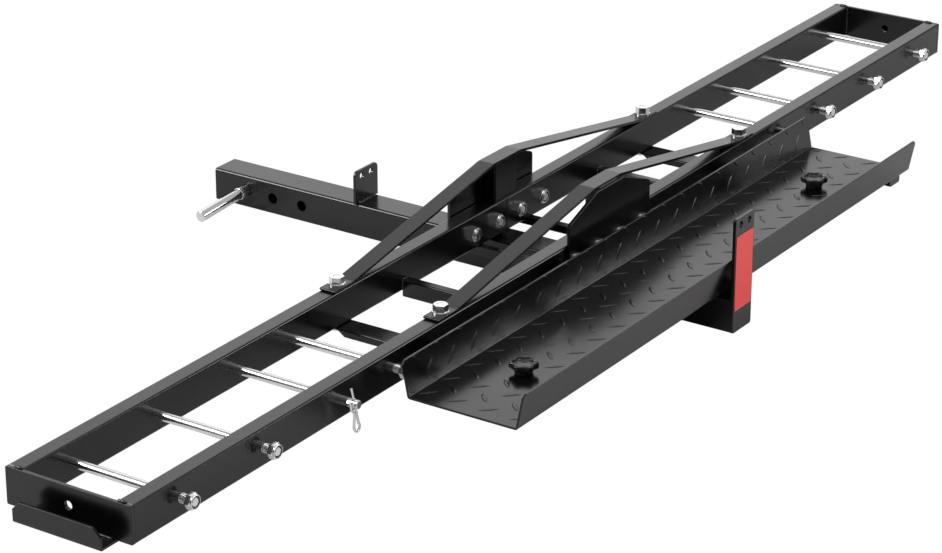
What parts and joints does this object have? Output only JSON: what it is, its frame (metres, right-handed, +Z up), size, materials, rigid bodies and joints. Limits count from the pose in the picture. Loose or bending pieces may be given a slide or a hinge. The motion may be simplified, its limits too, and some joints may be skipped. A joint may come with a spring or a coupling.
{
  "type": "hitch motorcycle carrier",
  "caption": "Hitch-mounted motorcycle carrier: wheel channel of two rails with cross rods on a square shank, bent straps over the cradle, stowed loading ramp.",
  "frame": {"origin": "centre of the middle hitch-pin hole, on the shank's axis", "axes": "+X along the wheel channel, towards the ramp's hook end; +Y along the shank, into the receiver; +Z up"},
  "size_m": [2.112, 0.8836, 0.168],
  "materials": {
    "black_paint": "gloss",
    "zinc": "bright zinc",
    "chrome": "polished",
    "red_tape": "reflective tape",
    "black_plastic": "satin"
  },
  "bodies": {
    "carrier": {"cradle_bar_left": "black_paint", "cradle_bar_right": "black_paint", "cradle_bolts_far": "zinc", "cradle_bolts_near": "zinc", "cradle_nuts_far": "zinc", "cradle_nuts_near": "zinc", "cradle_plate_far": "black_paint", "cradle_plate_near": "black_paint", "cradle_washers_far": "zinc", "cradle_washers_near": "zinc", "cross_brace_left": "black_paint", "cross_brace_right": "black_paint", "end_hook_left": "black_paint", "end_hook_right": "black_paint", "end_plate_left": "black_paint", "end_plate_right": "black_paint", "rail_left_far": "black_paint", "rail_left_near": "black_paint", "rail_right_far": "black_paint", "rail_right_near": "black_paint", "ramp_arm_left": "black_paint", "ramp_arm_right": "black_paint", "reflective_tape": "red_tape", "reflector_plate": "black_paint", "rod_bolts_left": "zinc", "rod_bolts_right": "zinc", "rod_nuts": "zinc", "shank_tube": "black_paint", "stop_plate": "black_paint", "strap_bolts": "zinc", "strap_far": "black_paint", "strap_near": "black_paint", "strap_nuts": "zinc", "strap_spacer_far": "black_paint", "strap_spacer_near": "black_paint", "strap_washers": "zinc"},
    "ramp": {"ramp_pan": "black_paint", "ramp_hook": "black_paint"},
    "knob_left": {"knob_left": "black_plastic", "knob_stud_left": "zinc"},
    "knob_right": {"knob_right": "black_plastic", "knob_stud_right": "zinc"},
    "hitch_pin": {"hitch_pin": "chrome"},
    "wheel_pin": {"wheel_pin": "zinc"},
    "spring_clip": {"spring_clip": "zinc"}
  },
  "joints": [
    {"name": "ramp_lift", "type": "slide", "parent": "carrier", "child": "ramp", "axis": [0, 0, 1], "range_m": [0, 0.15]},
    {"name": "knob_left_turn", "type": "hinge", "parent": "ramp", "child": "knob_left", "pos_m": [-0.3927, -0.679, 0.04], "axis": [0, 0, 1], "continuous": true},
    {"name": "knob_right_turn", "type": "hinge", "parent": "ramp", "child": "knob_right", "pos_m": [0.3843, -0.679, 0.04], "axis": [0, 0, 1], "continuous": true},
    {"name": "hitch_pin_pull", "type": "slide", "parent": "carrier", "child": "hitch_pin", "axis": [-1, 0, 0], "range_m": [0, 0.08]},
    {"name": "wheel_pin_turn", "type": "hinge", "parent": "carrier", "child": "wheel_pin", "pos_m": [-0.624, -0.466, 0.056], "axis": [0, 1, 0], "continuous": true},
    {"name": "clip_pull", "type": "slide", "parent": "wheel_pin", "child": "spring_clip", "axis": [0.2588, 0, -0.9659], "range_m": [0, 0.045]}
  ]
}
